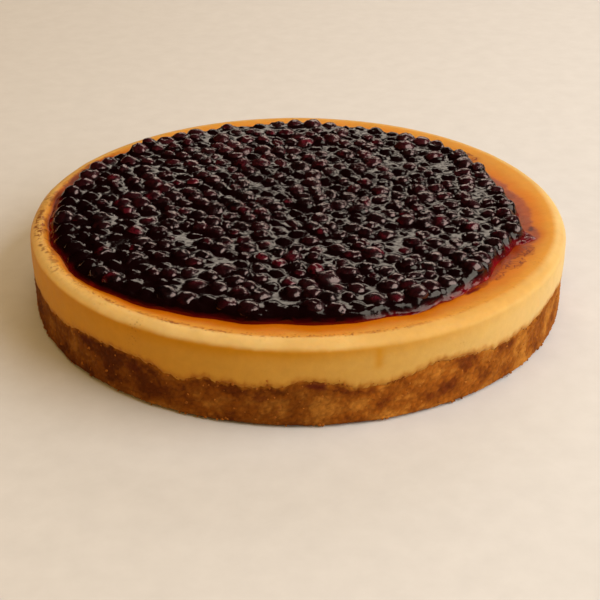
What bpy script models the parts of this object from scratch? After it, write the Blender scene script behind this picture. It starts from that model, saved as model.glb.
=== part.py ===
"""A whole baked cheesecake on a crumb crust, covered with small dark berries set in a thick glaze.

The cake stands on the plane z = 0 with its axis on the Z axis. -Y is the front.
Every solid is lofted from closed rings around that axis. Bearings are in degrees, from +X towards +Y.
"""

import math
import random

import bmesh
import bpy
import numpy as np
from mathutils import Vector

INCH = 0.0254
MM = 0.001

# The pan sets the cake's width, and the photographed sides give the heights.
CAKE_RADIUS = 9 * INCH / 2
RIM_HEIGHT = 35.8 * MM
BACK_DIP = 1.4 * MM
NEIGHBOUR_GAP = 0.3 * MM
SEGMENTS = 96

# The crumb crust: its uneven upper edge, as heights in millimetres by bearing around the side.
CRUST_EDGE = {
    -158: 17.7, -146: 17.2, -134: 20.0, -122: 20.4, -113: 16.2, -108: 18.2, -96: 15.0, -88: 19.8,
    -76: 16.2, -60: 21.3, -47: 17.3, -36: 17.9, -27: 20.4, -12: 17.6, 6: 19.4, 24: 16.8,
    41: 19.9, 58: 17.0, 77: 18.8, 95: 16.4, 113: 19.6, 131: 17.4, 150: 20.1, 176: 16.9,
}
CRUST_CORE_HEIGHT = 14.5 * MM
CRUST_CORE_INSET = 9 * MM
CRUST_FOOT_INSET = 1.4 * MM
CRUST_FOOT_HEIGHT = 1.3 * MM
CRUST_ROUGHNESS = 0.45 * MM
CRUST_SEED = 11

# The baked filling: a straight side, a rounded shoulder, a low crest and a shallow dish for the berries.
SHOULDER_RADIUS = 4.2 * MM
SIDE_BULGE = 0.35 * MM
CREST_INSET = 5.2 * MM
DISH_HEIGHT = 33.3 * MM
DISH_CLEARANCE = 0.8 * MM

# The topping: how far its thick glaze reaches from the axis, in millimetres by bearing.
TOPPING_EDGE = {
    -180: 105.8, -160: 105.0, -146: 104.4, -133: 102.4, -119: 99.0, -107: 97.2, -94: 96.0, -77: 96.2,
    -63: 96.8, -48: 95.8, -31: 95.0, -20: 95.6, -13: 97.2, -4: 94.4, 10: 93.4, 24: 94.6, 38: 97.6,
    60: 98.4, 80: 97.8, 100: 98.2, 116: 99.8, 132: 102.0, 150: 104.0, 165: 105.4,
}
SCALLOPS = ((17, 0.5 * MM, 0.4), (29, 0.35 * MM, 2.1))
GLAZE_LEVEL = 37.1 * MM
GLAZE_SHELF = 35.9 * MM
GLAZE_LIP = 34.4 * MM
GLAZE_SLOPE = 4.2 * MM

# The berries: one row inside the glaze's edge and a strongly jittered grid within it, pushed apart until they
# hardly overlap. In the grid two of every three are large.
BERRY_SEED = 5
LARGE_BERRY = (3.5 * MM, 4.7 * MM, 4.1 * MM)
SMALL_BERRY = (2.6 * MM, 3.6 * MM, 3.1 * MM)
BERRY_PITCH = 8.4 * MM
BERRY_JITTER = 4.2 * MM
EDGE_JITTER = 1.9 * MM
BERRY_MARGIN = 1.1 * MM
PUSH_STEPS = 90
BERRY_FLATNESS = 0.82
BERRY_TOP = (39.3 * MM, 40.9 * MM)
SUNK_BEARING = -148
SUNK_DEPTH = 1.3 * MM
MODELLED_BERRIES = 325
BERRY_SIDES = 7
SHARP_ANGLE = math.radians(50)


def smooth_lookup(table, bearing):
    """The value at a bearing in degrees, eased from each knot of a table to the next around the circle."""
    knots = sorted(table)
    bearing = (bearing + 180) % 360 - 180
    after = next((k for k in knots if k > bearing), knots[0] + 360)
    before = max((k for k in knots if k <= bearing), default=knots[-1] - 360)
    share = (bearing - before) / (after - before)
    share = share * share * (3 - 2 * share)
    first = table[before if before in table else before + 360]
    last = table[after if after in table else after - 360]
    return first + (last - first) * share


def crust_edge(angle):
    """Height of the crust's upper edge on the side."""
    return smooth_lookup(CRUST_EDGE, math.degrees(angle)) * MM


def rim_height(angle):
    """Height of the filling's crest, a little lower at the back."""
    return RIM_HEIGHT - BACK_DIP * (1 + math.sin(angle)) / 2


def topping_edge(angle):
    """Distance from the axis to the edge of the glaze, with its scallops around the outermost berries."""
    reach = smooth_lookup(TOPPING_EDGE, math.degrees(angle)) * MM
    return reach + sum(depth * math.sin(count * angle + turn) for count, depth, turn in SCALLOPS)


def ring(radius, height):
    """One closed ring of points. radius and height are lengths, or functions of the angle."""
    points = []
    for step in range(SEGMENTS):
        angle = step * math.tau / SEGMENTS
        r = radius(angle) if callable(radius) else radius
        z = height(angle) if callable(height) else height
        points.append(Vector((r * math.cos(angle), r * math.sin(angle), z)))
    return points


def roughened(rings, depth, seed):
    """Moves every point of these rings in or out by a seeded random amount."""
    draw = random.Random(seed)
    for points in rings:
        for point in points:
            outward = Vector((point.x, point.y, 0)).normalized()
            point += outward * draw.uniform(-depth, depth)
    return rings


def material(name, colour, roughness):
    """A plain food material."""
    made = bpy.data.materials.new(name)
    made.use_nodes = True
    shader = made.node_tree.nodes["Principled BSDF"]
    shader.inputs["Base Color"].default_value = (*colour, 1)
    shader.inputs["Roughness"].default_value = roughness
    shader.inputs["Metallic"].default_value = 0
    return made


def add_object(name, bm, finish):
    """Turns a bmesh into a smooth-shaded object with its material."""
    mesh = bpy.data.meshes.new(name)
    bm.to_mesh(mesh)
    bm.free()
    mesh.shade_smooth()
    mesh.set_sharp_from_angle(angle=SHARP_ANGLE)
    mesh.materials.append(finish)
    made = bpy.data.objects.new(name, mesh)
    bpy.context.scene.collection.objects.link(made)
    return made


def loft(rings):
    """A closed solid through these rings, from the bottom cap round the outside to the top cap.

    Each quad is split from its wider ring to its narrower one, so two solids that share rings stay parallel.
    """
    bm = bmesh.new()
    rows = [[bm.verts.new(point) for point in points] for points in rings]
    for low, high in zip(rows, rows[1:]):
        for step in range(SEGMENTS):
            after = (step + 1) % SEGMENTS
            if low[step].co.xy.length > high[step].co.xy.length:
                bm.faces.new((low[step], low[after], high[after]))
                bm.faces.new((low[step], high[after], high[step]))
            else:
                bm.faces.new((low[step], low[after], high[step]))
                bm.faces.new((low[after], high[after], high[step]))
    bm.faces.new(reversed(rows[0]))
    bm.faces.new(rows[-1])
    return bm


def make_crust(finish):
    """The crumb base: a rough side, an uneven upper edge and a level top inside it."""
    foot = ring(CAKE_RADIUS - CRUST_FOOT_INSET, 0)
    side = [ring(CAKE_RADIUS, CRUST_FOOT_HEIGHT)]
    for share in (0.36, 0.68):
        side.append(ring(CAKE_RADIUS, lambda angle, share=share: share * crust_edge(angle)))
    edge = ring(CAKE_RADIUS - CRUST_ROUGHNESS, crust_edge)
    core = ring(CAKE_RADIUS - CRUST_CORE_INSET, CRUST_CORE_HEIGHT)
    rings = [foot, *roughened(side, CRUST_ROUGHNESS, CRUST_SEED), edge, core]
    return add_object("crust", loft(rings), finish)


def make_filling(finish):
    """The filling: it follows the crust's edge below and holds the topping in a shallow dish above."""
    core = ring(CAKE_RADIUS - CRUST_CORE_INSET, CRUST_CORE_HEIGHT + NEIGHBOUR_GAP)
    hem = ring(CAKE_RADIUS - CRUST_ROUGHNESS, lambda angle: crust_edge(angle) + NEIGHBOUR_GAP)
    rings = [core, hem]

    def side_height(angle):
        return (crust_edge(angle) + rim_height(angle) - SHOULDER_RADIUS) / 2

    rings.append(ring(CAKE_RADIUS + SIDE_BULGE, side_height))
    for turn in (0, 30, 60):
        out = SHOULDER_RADIUS * (1 - math.cos(math.radians(turn)))
        up = SHOULDER_RADIUS * (1 - math.sin(math.radians(turn)))
        rings.append(ring(CAKE_RADIUS - out, lambda angle, up=up: rim_height(angle) - up))
    rings.append(ring(CAKE_RADIUS - CREST_INSET, rim_height))

    def dish_edge(angle):
        return topping_edge(angle) + DISH_CLEARANCE

    def slope_radius(angle):
        return (dish_edge(angle) + CAKE_RADIUS - CREST_INSET) / 2

    rings.append(ring(slope_radius, lambda angle: DISH_HEIGHT + 0.55 * (rim_height(angle) - DISH_HEIGHT)))
    rings.append(ring(dish_edge, DISH_HEIGHT))
    return add_object("filling", loft(rings), finish)


def berry_spots():
    """Centre x, centre y and radius of every berry of the heap, the largest first."""
    draw = random.Random(BERRY_SEED)
    spots = []
    edge_row = round(math.tau * topping_edge(0) / BERRY_PITCH)
    for index in range(edge_row):
        angle = (index + draw.uniform(-0.15, 0.15)) * math.tau / edge_row
        radius = draw.triangular(*LARGE_BERRY)
        out = topping_edge(angle) - radius - BERRY_MARGIN - draw.uniform(0, EDGE_JITTER)
        spots.append((out * math.cos(angle), out * math.sin(angle), radius))
    row_step = BERRY_PITCH * math.sqrt(3) / 2
    rows = int(CAKE_RADIUS / row_step)
    for row in range(-rows, rows + 1):
        for column in range(-rows, rows + 1):
            x = (column + 0.5 * (row % 2)) * BERRY_PITCH + draw.uniform(-BERRY_JITTER, BERRY_JITTER)
            y = row * row_step + draw.uniform(-BERRY_JITTER, BERRY_JITTER)
            small = draw.random() < 1 / 3
            radius = draw.triangular(*(SMALL_BERRY if small else LARGE_BERRY))
            if math.hypot(x, y) < topping_edge(math.atan2(y, x)) - 1.5 * BERRY_PITCH:
                spots.append((x, y, radius))
    spots.sort(key=lambda spot: -spot[2])
    return pushed_apart(np.array(spots))


def berry_top(x, y, draw):
    """Height of one berry's top. Near the edge on the front left the berries lie deeper in the glaze."""
    turn = math.atan2(y, x) - math.radians(SUNK_BEARING)
    near_edge = (math.hypot(x, y) / CAKE_RADIUS) ** 6
    return draw.uniform(*BERRY_TOP) - SUNK_DEPTH * near_edge * max(0, math.cos(turn)) ** 2


def pushed_apart(spots):
    """Moves overlapping berries away from each other, and back inside the glaze's edge."""
    centres, radii = spots[:, :2].copy(), spots[:, 2]
    reach = radii[:, None] + radii[None, :]
    for _ in range(PUSH_STEPS):
        apart = centres[:, None] - centres[None, :]
        distance = np.hypot(apart[..., 0], apart[..., 1])
        np.fill_diagonal(distance, 1)
        overlap = np.clip(reach - distance, 0, None)
        np.fill_diagonal(overlap, 0)
        centres += 0.4 * (apart * (overlap / distance)[..., None]).sum(1)
        for index, (x, y) in enumerate(centres):
            limit = topping_edge(math.atan2(y, x)) - radii[index] - BERRY_MARGIN
            beyond = math.hypot(x, y) / limit
            if beyond > 1:
                centres[index] /= beyond
    return [(float(x), float(y), float(r)) for (x, y), r in zip(centres, radii)]


def berry_dome(x, y, radius, top_height):
    """The upper part of one berry: two bands of few sides, with its flat foot sunk in the glaze."""
    half_height = BERRY_FLATNESS * radius
    centre = Vector((x, y, top_height - half_height))
    foot_latitude = math.asin(max(-0.9, min(0.5, (GLAZE_SHELF - centre.z) / half_height)))
    bm = bmesh.new()
    rows = []
    for latitude in (foot_latitude, math.radians(42)):
        across, up = radius * math.cos(latitude), half_height * math.sin(latitude)
        turns = [(side + radius / MM) * math.tau / BERRY_SIDES for side in range(BERRY_SIDES)]
        rows.append(
            [bm.verts.new(centre + Vector((across * math.cos(t), across * math.sin(t), up))) for t in turns]
        )
    top = bm.verts.new(centre + Vector((0, 0, half_height)))
    foot, middle = rows
    for side in range(BERRY_SIDES):
        after = (side + 1) % BERRY_SIDES
        bm.faces.new((foot[side], foot[after], middle[after], middle[side]))
        bm.faces.new((middle[side], middle[after], top))
    bm.faces.new(reversed(foot))
    mesh = bpy.data.meshes.new("berry")
    bm.to_mesh(mesh)
    bm.free()
    return bpy.data.objects.new("berry", mesh)


def make_topping(finish):
    """The glaze with the largest berries fused on, as one solid."""
    floor = DISH_HEIGHT + NEIGHBOUR_GAP
    rings = [
        ring(topping_edge, floor),
        ring(topping_edge, GLAZE_LIP),
        ring(lambda angle: topping_edge(angle) - 0.3 * GLAZE_SLOPE, GLAZE_SHELF),
        ring(lambda angle: topping_edge(angle) - GLAZE_SLOPE, GLAZE_LEVEL),
    ]
    topping = add_object("berry_topping", loft(rings), finish)
    draw = random.Random(BERRY_SEED)
    heap = bpy.data.collections.new("berries")
    for x, y, radius in berry_spots()[:MODELLED_BERRIES]:
        heap.objects.link(berry_dome(x, y, radius, berry_top(x, y, draw)))
    fuse(topping, heap)
    return topping


def fuse(target, heap):
    """Joins a collection of closed pieces to an object by one Boolean, then removes the collection."""
    bpy.context.scene.collection.children.link(heap)
    union = target.modifiers.new("berries", "BOOLEAN")
    union.operation = "UNION"
    union.operand_type = "COLLECTION"
    union.collection = heap
    union.solver = "MANIFOLD"
    bpy.context.view_layer.update()
    joined = bpy.data.meshes.new_from_object(target.evaluated_get(bpy.context.evaluated_depsgraph_get()))
    target.modifiers.clear()
    target.data = joined
    target.data.shade_smooth()
    target.data.set_sharp_from_angle(angle=SHARP_ANGLE)
    for piece in list(heap.objects):
        bpy.data.objects.remove(piece)
    bpy.data.collections.remove(heap)


def main():
    for leftover in list(bpy.data.objects):
        bpy.data.objects.remove(leftover)
    make_crust(material("crumb crust", (0.36, 0.17, 0.05), 0.9))
    make_filling(material("baked filling", (0.84, 0.60, 0.25), 0.55))
    make_topping(material("berry glaze", (0.03, 0.005, 0.012), 0.12))


main()
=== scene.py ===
"""Looks for the whole berry cheesecake: filling, crumb crust, glaze and berries as fine meshes."""

import math
import random
from itertools import product

import bmesh
import bpy
import numpy as np
from mathutils import Matrix, Vector


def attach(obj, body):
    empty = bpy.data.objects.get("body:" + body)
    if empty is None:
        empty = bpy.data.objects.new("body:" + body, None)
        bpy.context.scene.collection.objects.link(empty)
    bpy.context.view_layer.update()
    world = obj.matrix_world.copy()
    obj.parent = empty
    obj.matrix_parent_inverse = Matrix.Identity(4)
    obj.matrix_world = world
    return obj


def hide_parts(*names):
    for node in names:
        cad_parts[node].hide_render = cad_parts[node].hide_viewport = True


MM = 0.001
INCH = 0.0254

# The same sizes as the solids have. Tables give millimetres by bearing in degrees, from +X towards +Y.
CAKE_RADIUS = 9 * INCH / 2
RIM_HEIGHT = 35.8 * MM
BACK_DIP = 1.4 * MM
CRUST_EDGE = {
    -158: 17.7, -146: 17.2, -134: 20, -122: 20.4, -113: 16.2, -108: 18.2, -96: 15, -88: 19.8,
    -76: 16.2, -60: 21.3, -47: 17.3, -36: 17.9, -27: 20.4, -12: 17.6, 6: 19.4, 24: 16.8,
    41: 19.9, 58: 17, 77: 18.8, 95: 16.4, 113: 19.6, 131: 17.4, 150: 20.1, 176: 16.9,
}
SHOULDER_RADIUS = 4.2 * MM
CREST_INSET = 5.2 * MM
DISH_HEIGHT = 33.3 * MM
DISH_CLEARANCE = 0.8 * MM
TOPPING_EDGE = {
    -180: 105.8, -160: 105, -146: 104.4, -133: 102.4, -119: 99, -107: 97.2, -94: 96, -77: 96.2,
    -63: 96.8, -48: 95.8, -31: 95, -20: 95.6, -13: 97.2, -4: 94.4, 10: 93.4, 24: 94.6, 38: 97.6,
    60: 98.4, 80: 97.8, 100: 98.2, 116: 99.8, 132: 102, 150: 104, 165: 105.4,
}
SCALLOPS = ((17, 0.5 * MM, 0.4), (29, 0.35 * MM, 2.1))
GLAZE_LEVEL = 37.1 * MM
BERRY_SEED = 5
LARGE_BERRY = (3.5 * MM, 4.7 * MM, 4.1 * MM)
SMALL_BERRY = (2.6 * MM, 3.6 * MM, 3.1 * MM)
BERRY_PITCH = 8.4 * MM
BERRY_JITTER = 4.2 * MM
SMALL_SHARE = 1 / 3
EDGE_ROW_WIDTH = 1.5 * BERRY_PITCH
EDGE_JITTER = 1.9 * MM
BERRY_MARGIN = 1.1 * MM
PUSH_STEPS = 90
PUSH_SHARE = 0.4
BERRY_FLATNESS = 0.82
BERRY_TOP = (39.3 * MM, 40.9 * MM)
SUNK_BEARING = -148
SUNK_DEPTH = 1.3 * MM

# Where the visible glaze draws back from the core's edge, how far in from there it gets its full depth, how
# far its thin hem runs out, and how far the brown film on the filling reaches.
DRAW_BACK = {-75: 0, -48: 0.4, -38: 1.2, -29: 2, -21: 1.8, -16: 0.4, -10: 0, 90: 0, 180: 0}
GLAZE_SLOPE = {
    -180: 5.4, -150: 4.4, -128: 3.2, -90: 2.7, -62: 2.9, -45: 3.6, -30: 4.6, -20: 6, 20: 5.5, 90: 5.5,
    140: 6,
}
HEM_REACH = {
    -180: 1.1, -150: 0.8, -120: 0.25, -90: 0.25, -72: 0.4, -64: 1.3, -56: 0.6, -50: 1.3, -45: 0.8, -30: 0.4,
    -19: 0.5, -16.5: 3, -14.5: 5.4, -12.5: 3, -10: 0.5, 30: 0.4, 140: 0.8, 160: 1.2,
}
FILM_REACH = {
    -180: 1.4, -165: 1, -150: 0.5, -130: 0, -72: 0, -63: 1, -50: 1, -40: 1.6, -30: 2.6, -22: 4.6,
    -15: 5.8, -8: 5.6, -2: 5.4, 8: 5.6, 16: 4.4, 24: 1.6, 40: 0.6, 120: 0.6, 138: 2, 150: 3.4, 165: 2.8,
}
FILM_DEPTH = 0.7 * MM
SURFACE_LEVEL = GLAZE_LEVEL + 0.1 * MM
GLAZE_RINGS = 178
FILLER_SEED = 23
FILLER_TRIES = 5000
FILLER_RADIUS = (2.2 * MM, 3.3 * MM)
FILLER_TOP = (38.2 * MM, 39.5 * MM)
FILLER_MARGIN = 1.6 * MM
FILLER_CLOSENESS = (0.86, 0.9)
SINKING_SEED = 93
RAISED_SHARE = 0.78
KIND_SEED = 77

# The glaze meets a berry at this share of its radius, falls away from it over this length, and covers the
# berries whose tops are below this height with a coat this thick.
CONTACT = 0.8
MENISCUS = 1.25 * MM
COATED_BELOW = 38.9 * MM
COAT = 0.15 * MM

# Points in each ring of the filling and the crust, their angles, and rings in each of the parts.
COLUMNS = 1080
TURNS = np.arange(COLUMNS) * math.tau / COLUMNS
SIDE_ROWS = 26
SHOULDER_ROWS = 14
TOP_ROWS = 22
CRUST_ROWS = 34

# Where the filling's surface passes under the glaze, and where it ends.
HIDDEN_RIM = 3 * MM
HIDDEN_RADIUS = 40 * MM
CRUMB_SEED = 12
CRUMB_COUNT = 700

# The noise's largest whole number, and the share of each colour that the warm light keeps.
HASH_LIMIT = 0xFFFFFF
WARM_LIGHT = np.array([0.62, 0.66, 0.7])


def smooth_lookup(table, bearings):
    """Values at bearings in degrees, eased between the knots of a table around the circle."""
    knots = np.array(sorted(table), float)
    values = np.array([table[k] for k in sorted(table)], float)
    knots = np.concatenate([[knots[-1] - 360], knots, [knots[0] + 360]])
    values = np.concatenate([[values[-1]], values, [values[0]]])
    bearings = (np.asarray(bearings, float) + 180) % 360 - 180
    spot = np.clip(np.searchsorted(knots, bearings, side="right") - 1, 0, len(knots) - 2)
    share = step(knots[spot], knots[spot + 1], bearings)
    return values[spot] + (values[spot + 1] - values[spot]) * share


def rim_height(angle):
    return RIM_HEIGHT - BACK_DIP * (1 + np.sin(angle)) / 2


def topping_edge(angle):
    reach = smooth_lookup(TOPPING_EDGE, np.degrees(angle)) * MM
    return reach + sum(depth * np.sin(count * angle + turn) for count, depth, turn in SCALLOPS)


def glaze_edge(angle):
    return topping_edge(angle) - smooth_lookup(DRAW_BACK, np.degrees(angle)) * MM


def on_circle(angle):
    return on_floor(np.cos(angle), np.sin(angle))


def on_floor(x, y):
    return np.stack([x, y, np.zeros_like(x)], 1)


def reach_of(table, angle, wander):
    """A table's reach beyond the glaze with small steps added, as a share and as a length."""
    ringed = on_circle(angle) * CAKE_RADIUS
    reach = smooth_lookup(table, np.degrees(angle)) * MM
    return reach * (1 + wander * cloud(ringed, 5 * MM, 33, 3, 0.6)) + 0.2 * MM * cloud(ringed, 4 * MM, 34, 2)


def hem_edge(angle):
    return glaze_edge(angle) + np.maximum(0.1 * MM, reach_of(HEM_REACH, angle, 0.25))


def film_edge(angle):
    return glaze_edge(angle) + np.maximum(0, reach_of(FILM_REACH, angle, 0.35))


def step(low, high, value):
    """Smooth step from 0 at low to 1 at high."""
    share = np.clip((value - low) / (high - low), 0, 1)
    return share * share * (3 - 2 * share)


def bell(value, width):
    """1 where a value is 0, falling to 0 on both sides over about twice the width."""
    return np.exp(-((value / width) ** 2))


def off(degrees, bearing):
    """Degrees from a bearing, from -180 to 180."""
    return (degrees - bearing + 180) % 360 - 180


def facing(degrees, bearing, width):
    """A bell around a bearing."""
    return bell(off(degrees, bearing), width)


def hashed(cell, salt):
    """A whole number from 0 to HASH_LIMIT for each row of three whole numbers."""
    mix = (cell[:, 0] * 73856093) ^ (cell[:, 1] * 19349663) ^ (cell[:, 2] * 83492791) ^ (salt * 2654435761)
    mix = (mix ^ (mix >> 13)) * 1274126177
    return (mix ^ (mix >> 16)) & HASH_LIMIT


def lattice(points, seed):
    """Smooth value noise from -1 to 1 at points, an array of rows of three coordinates."""
    base = np.floor(points).astype(np.int64)
    part = step(0, 1, points - base)
    total = np.zeros(len(points))
    for corner in range(8):
        bits = np.array([corner & 1, corner >> 1 & 1, corner >> 2 & 1])
        weight = np.prod(np.where(bits == 1, part, 1 - part), axis=1)
        total += weight * (hashed(base + bits, seed) / (HASH_LIMIT // 2) - 1)
    return total


def cloud(points, size, seed, octaves, gain=0.5):
    """Layered noise from about -1 to 1, with its largest lumps about size wide."""
    total, strength, norm = np.zeros(len(points)), 1.0, 0.0
    for octave in range(octaves):
        total += strength * lattice(points / size * 2**octave + 17.3 * octave, seed + octave)
        norm += strength
        strength *= gain
    return total / norm


def cells(points, size, seed):
    """Distances to the nearest two points of a jittered grid, in units of size, and a tag for the nearest."""
    scaled = points / size
    base = np.floor(scaled).astype(np.int64)
    near = np.full(len(points), 9.0)
    second = np.full(len(points), 9.0)
    tag = np.zeros(len(points))
    for offset in product((-1, 0, 1), repeat=3):
        cell = base + offset
        jitter = [hashed(cell, seed + 31 * axis) / HASH_LIMIT for axis in range(3)]
        distance = np.linalg.norm(cell + np.stack(jitter, 1) - scaled, axis=1)
        closer = distance < near
        second = np.where(closer, near, np.minimum(second, distance))
        near = np.where(closer, distance, near)
        tag = np.where(closer, jitter[0], tag)
    return near, second, tag


# Meshes

def add_mesh(name, points, faces, material, colours, detail=None, smooth=True):
    """An object of the root body, with a colour for each point and, where given, a detail layer."""
    mesh = bpy.data.meshes.new(name)
    faces = np.asarray(faces)
    mesh.vertices.add(len(points))
    mesh.vertices.foreach_set("co", np.asarray(points, np.float32).ravel())
    mesh.loops.add(faces.size)
    mesh.loops.foreach_set("vertex_index", faces.ravel().astype(np.int32))
    mesh.polygons.add(len(faces))
    width = faces.shape[1]
    mesh.polygons.foreach_set("loop_start", np.arange(0, faces.size, width, dtype=np.int32))
    mesh.polygons.foreach_set("loop_total", np.full(len(faces), width, np.int32))
    mesh.update(calc_edges=True)
    mesh.validate()
    mesh.polygons.foreach_set("use_smooth", np.full(len(mesh.polygons), smooth))
    for layer, values in {"paint": colours, "detail": detail}.items():
        if values is None:
            continue
        rgba = np.ones((len(points), 4), np.float32)
        rgba[:, :3] = values
        made = mesh.color_attributes.new(layer, "FLOAT_COLOR", "POINT")
        made.data.foreach_set("color", rgba.ravel())
    mesh.materials.append(material)
    piece = bpy.data.objects.new(name, mesh)
    bpy.context.scene.collection.objects.link(piece)
    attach(piece, "root")
    return piece


def revolved(rings):
    """Points of rings, each a radius and a height for all turns or for each, and every point's angle."""
    radii, heights = (np.stack([np.broadcast_to(ring[k], COLUMNS) for ring in rings]) for k in (0, 1))
    turn = np.broadcast_to(TURNS, radii.shape)
    points = np.stack([radii * np.cos(turn), radii * np.sin(turn), heights], -1).reshape(-1, 3)
    return points, turn.ravel()


def revolved_faces(rows):
    """Quads between the rings, wound outward where the rings climb the outside."""
    row, column = np.meshgrid(np.arange(rows - 1), np.arange(COLUMNS), indexing="ij")
    after = (column + 1) % COLUMNS
    low, high = row * COLUMNS, (row + 1) * COLUMNS
    return np.stack([low + column, low + after, high + after, high + column], -1).reshape(-1, 4)


# Materials

def shader_of(name):
    made = bpy.data.materials.new(name)
    made.use_nodes = True
    tree = made.node_tree
    return made, tree, tree.nodes["Principled BSDF"]


def set_inputs(tree, node, values):
    """Links the sockets among the values to a node's inputs, and sets the others there."""
    for name, value in values.items():
        if isinstance(value, bpy.types.NodeSocket):
            tree.links.new(value, node.inputs[name])
        else:
            node.inputs[name].default_value = value


def added(tree, kind, values, **settings):
    node = tree.nodes.new(kind)
    for name, value in settings.items():
        setattr(node, name, value)
    set_inputs(tree, node, values)
    return node


def painted(tree, layer="paint"):
    return added(tree, "ShaderNodeVertexColor", {}, layer_name=layer).outputs["Color"]


def place_of(tree):
    return added(tree, "ShaderNodeTexCoord", {}).outputs["Object"]


def grain(tree, scale, detail, roughness=0.6):
    """Noise in the object's own metres, so that its lumps are about 1 / scale metres wide."""
    values = {"Vector": place_of(tree), "Scale": scale, "Detail": detail, "Roughness": roughness}
    return added(tree, "ShaderNodeTexNoise", values).outputs["Fac"]


def ranged(tree, value, low, high, out_low, out_high):
    values = {"Value": value, "From Min": low, "From Max": high, "To Min": out_low, "To Max": out_high}
    return added(tree, "ShaderNodeMapRange", values).outputs["Result"]


def combined(tree, operation, *values):
    return added(tree, "ShaderNodeMath", dict(enumerate(values)), operation=operation).outputs["Value"]


def mixed(tree, kind, factor, colour, other):
    values = {"Factor": factor, "A": colour, "B": other}
    return added(tree, "ShaderNodeMix", values, data_type="RGBA", blend_type=kind).outputs["Result"]


def bumped(tree, shader, height, distance, strength):
    values = {"Height": height, "Distance": distance, "Strength": strength}
    set_inputs(tree, shader, {"Normal": added(tree, "ShaderNodeBump", values).outputs["Normal"]})


def detailed(tree, shader):
    """Takes the roughness from the detail layer's red, and gives its green and its blue."""
    split = added(tree, "ShaderNodeSeparateColor", {"Color": painted(tree, "detail")}).outputs
    set_inputs(tree, shader, {"Roughness": split["Red"]})
    return split["Green"], split["Blue"]


def filling_material():
    made, tree, shader = shader_of("baked filling")
    pitted, creased = detailed(tree, shader)
    mottle = ranged(tree, grain(tree, 260, 5), 0.3, 0.7, 0.95, 1.04)
    colour = mixed(tree, "MULTIPLY", 1, painted(tree), mottle)

    # Pits: small holes that burst bubbles leave, in patches.
    spots = added(tree, "ShaderNodeTexVoronoi", {"Vector": place_of(tree), "Scale": 760}).outputs["Distance"]
    pits = combined(tree, "MULTIPLY", ranged(tree, spots, 0.2, 0.36, 0.8, 0), pitted)
    pits = combined(tree, "MULTIPLY", pits, ranged(tree, grain(tree, 420, 2), 0.3, 0.44, 0, 1))
    colour = mixed(tree, "MIX", pits, colour, (0.24, 0.08, 0.006, 1))

    # Creases: thin wandering lines, where noise passes its middle.
    creases = combined(tree, "COMPARE", grain(tree, 240, 3, 0.5), 0.5, 0.028)
    creases = combined(tree, "MULTIPLY", creases, creased)
    set_inputs(tree, shader, {
        "Base Color": mixed(tree, "MIX", creases, colour, (0.21, 0.042, 0.008, 1)),
        "IOR": 1.24, "Specular Tint": (1.0, 0.74, 0.3, 1), "Subsurface Weight": 0.35,
        "Subsurface Radius": (1.0, 0.5, 0.2), "Subsurface Scale": 3.0 * MM,
    })
    holes = combined(tree, "SUBTRACT", pits, creases)
    bumped(tree, shader, combined(tree, "MULTIPLY_ADD", holes, -3.0, grain(tree, 900, 5)), 0.10 * MM, 0.6)
    return made


def crust_material(name, strength):
    made, tree, shader = shader_of(name)
    fleck = ranged(tree, grain(tree, 700, 5, 0.65), 0.32, 0.68, 0.84, 1.14)
    set_inputs(tree, shader, {
        "Base Color": mixed(tree, "MULTIPLY", 1, painted(tree), fleck),
        "Roughness": 0.82, "Specular IOR Level": 0.15, "Specular Tint": (1.0, 0.7, 0.4, 1),
    })
    bumped(tree, shader, grain(tree, 1300, 6, 0.7), 0.28 * MM, strength)
    return made


def wet_material(name, ior, tint, scale, distance, strength):
    """A wet skin, wrinkled where the detail layer is green, whose colour isn't linked yet."""
    made, tree, shader = shader_of(name)
    set_inputs(tree, shader, {"IOR": ior, "Specular Tint": (*tint, 1)})
    wrinkled, _ = detailed(tree, shader)
    bumped(tree, shader, combined(tree, "MULTIPLY", grain(tree, scale, 1.5), wrinkled), distance, strength)
    return made, tree, shader


def glaze_material():
    made, tree, shader = wet_material("set glaze", 1.35, (0.95, 0.92, 0.84), 400, 0.5 * MM, 0.7)
    set_inputs(tree, shader, {"Base Color": painted(tree)})
    return made


def berry_material():
    made, tree, shader = wet_material("glazed berry skin", 1.62, (1.0, 0.77, 0.74), 480, 0.9 * MM, 0.8)
    skin = ranged(tree, grain(tree, 500, 4), 0.35, 0.7, 0.4, 1.8)
    set_inputs(tree, shader, {"Base Color": mixed(tree, "MULTIPLY", 1, painted(tree), skin)})
    return made


# The filling

def tone(red, green, blue):
    """Screen values, 0 to 255, as a linear colour."""
    value = np.array([red, green, blue]) / 255
    return np.where(value <= 0.04045, value / 12.92, ((value + 0.055) / 1.055) ** 2.4)


def lit(red, green, blue):
    """The colour of a surface that looks like these screen values under the warm light."""
    return WARM_LIGHT * tone(red, green, blue)


def blend(first, second, share):
    share = np.asarray(share)[:, None]
    return first * (1 - share) + second * share


def layered(colours, *layers):
    """Colours with others laid over them in turn, each by its share."""
    for colour, share in layers:
        colours = blend(colours, colour, share)
    return colours


def fine_edge(angle):
    """The crust's upper edge with the small steps that its crumbs make."""
    ringed = on_circle(angle) * CAKE_RADIUS
    lumps = 1.2 * cloud(ringed, 7 * MM, 31, 3, 0.6) + 1.5 * cloud(ringed, 2.6 * MM, 37, 3, 0.75)
    degrees = np.degrees(angle)
    raised = 1 + 2.1 * facing(degrees, -96.5, 5.5)
    return (0.94 * smooth_lookup(CRUST_EDGE, degrees) + raised + lumps) * MM


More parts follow.
